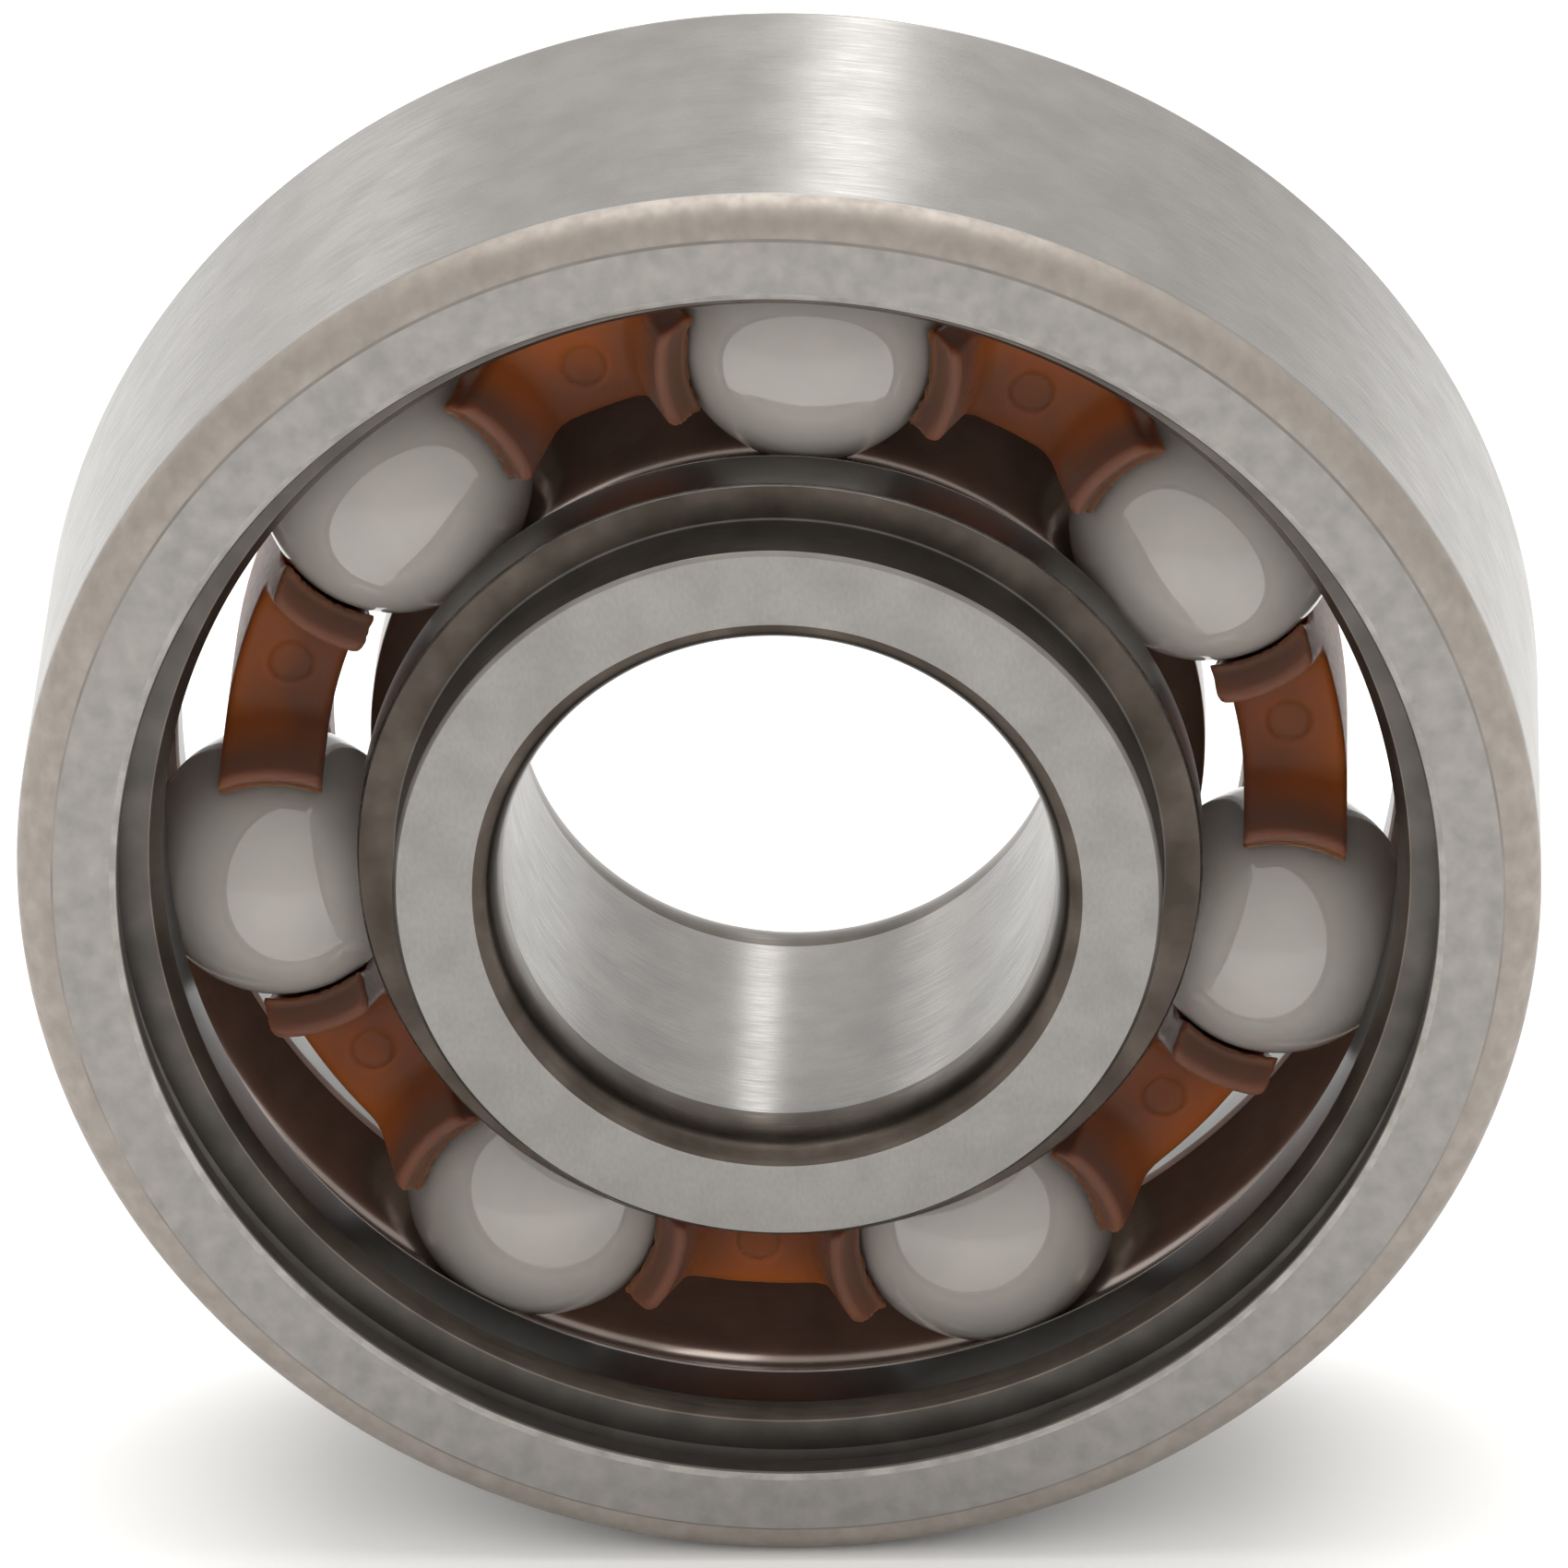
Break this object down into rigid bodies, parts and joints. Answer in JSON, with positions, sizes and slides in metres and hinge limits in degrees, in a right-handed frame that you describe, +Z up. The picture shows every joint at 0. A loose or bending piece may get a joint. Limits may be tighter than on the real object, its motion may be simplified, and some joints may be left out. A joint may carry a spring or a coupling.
{
  "type": "ball bearing",
  "caption": "Open deep-groove ball bearing with steel rings, ceramic balls and a snap-in polymer cage.",
  "frame": {"origin": "centre of the bearing: middle of the bore, at half the width", "axes": "+Y along the spin axis, towards the closed back of the cage; +Z up, the bearing stands on its rim"},
  "size_m": [0.022, 0.007, 0.022],
  "materials": {
    "ground_steel": "fine ground, satin on the faces, brighter on the cylinders",
    "amber_polymer": "moulded translucent amber, semi-gloss",
    "white_ceramic": "polished white ceramic"
  },
  "bodies": {
    "outer_ring": {"outer_ring": "ground_steel"},
    "inner_ring": {"inner_ring": "ground_steel"},
    "cage": {"cage": "amber_polymer"},
    "ball_1": {"ball_1": "white_ceramic"},
    "ball_2": {"ball_2": "white_ceramic"},
    "ball_3": {"ball_3": "white_ceramic"},
    "ball_4": {"ball_4": "white_ceramic"},
    "ball_5": {"ball_5": "white_ceramic"},
    "ball_6": {"ball_6": "white_ceramic"},
    "ball_7": {"ball_7": "white_ceramic"}
  },
  "joints": [
    {"name": "inner_ring_spin", "type": "hinge", "parent": "outer_ring", "child": "inner_ring", "pos_m": [0, 0, 0], "axis": [0, 1, 0], "continuous": true},
    {"name": "cage_spin", "type": "hinge", "parent": "outer_ring", "child": "cage", "pos_m": [0, 0, 0], "axis": [0, 1, 0], "continuous": true},
    {"name": "ball_1_spin", "type": "hinge", "parent": "cage", "child": "ball_1", "pos_m": [0.00054, 0, 0.00748], "axis": [0, 1, 0], "continuous": true},
    {"name": "ball_2_spin", "type": "hinge", "parent": "cage", "child": "ball_2", "pos_m": [0.00618, 0, 0.00424], "axis": [0, 1, 0], "continuous": true},
    {"name": "ball_3_spin", "type": "hinge", "parent": "cage", "child": "ball_3", "pos_m": [0.00717, 0, -0.00219], "axis": [0, 1, 0], "continuous": true},
    {"name": "ball_4_spin", "type": "hinge", "parent": "cage", "child": "ball_4", "pos_m": [0.00276, 0, -0.00697], "axis": [0, 1, 0], "continuous": true},
    {"name": "ball_5_spin", "type": "hinge", "parent": "cage", "child": "ball_5", "pos_m": [-0.00373, 0, -0.00651], "axis": [0, 1, 0], "continuous": true},
    {"name": "ball_6_spin", "type": "hinge", "parent": "cage", "child": "ball_6", "pos_m": [-0.00741, 0, -0.00114], "axis": [0, 1, 0], "continuous": true},
    {"name": "ball_7_spin", "type": "hinge", "parent": "cage", "child": "ball_7", "pos_m": [-0.00551, 0, 0.00508], "axis": [0, 1, 0], "continuous": true}
  ],
  "couplings": [
    {"joint": "cage_spin", "follows": "inner_ring_spin", "ratio": 0.3677},
    {"joint": "ball_1_spin", "follows": "inner_ring_spin", "ratio": -1.7573},
    {"joint": "ball_2_spin", "follows": "inner_ring_spin", "ratio": -1.7573},
    {"joint": "ball_3_spin", "follows": "inner_ring_spin", "ratio": -1.7573},
    {"joint": "ball_4_spin", "follows": "inner_ring_spin", "ratio": -1.7573},
    {"joint": "ball_5_spin", "follows": "inner_ring_spin", "ratio": -1.7573},
    {"joint": "ball_6_spin", "follows": "inner_ring_spin", "ratio": -1.7573},
    {"joint": "ball_7_spin", "follows": "inner_ring_spin", "ratio": -1.7573}
  ]
}
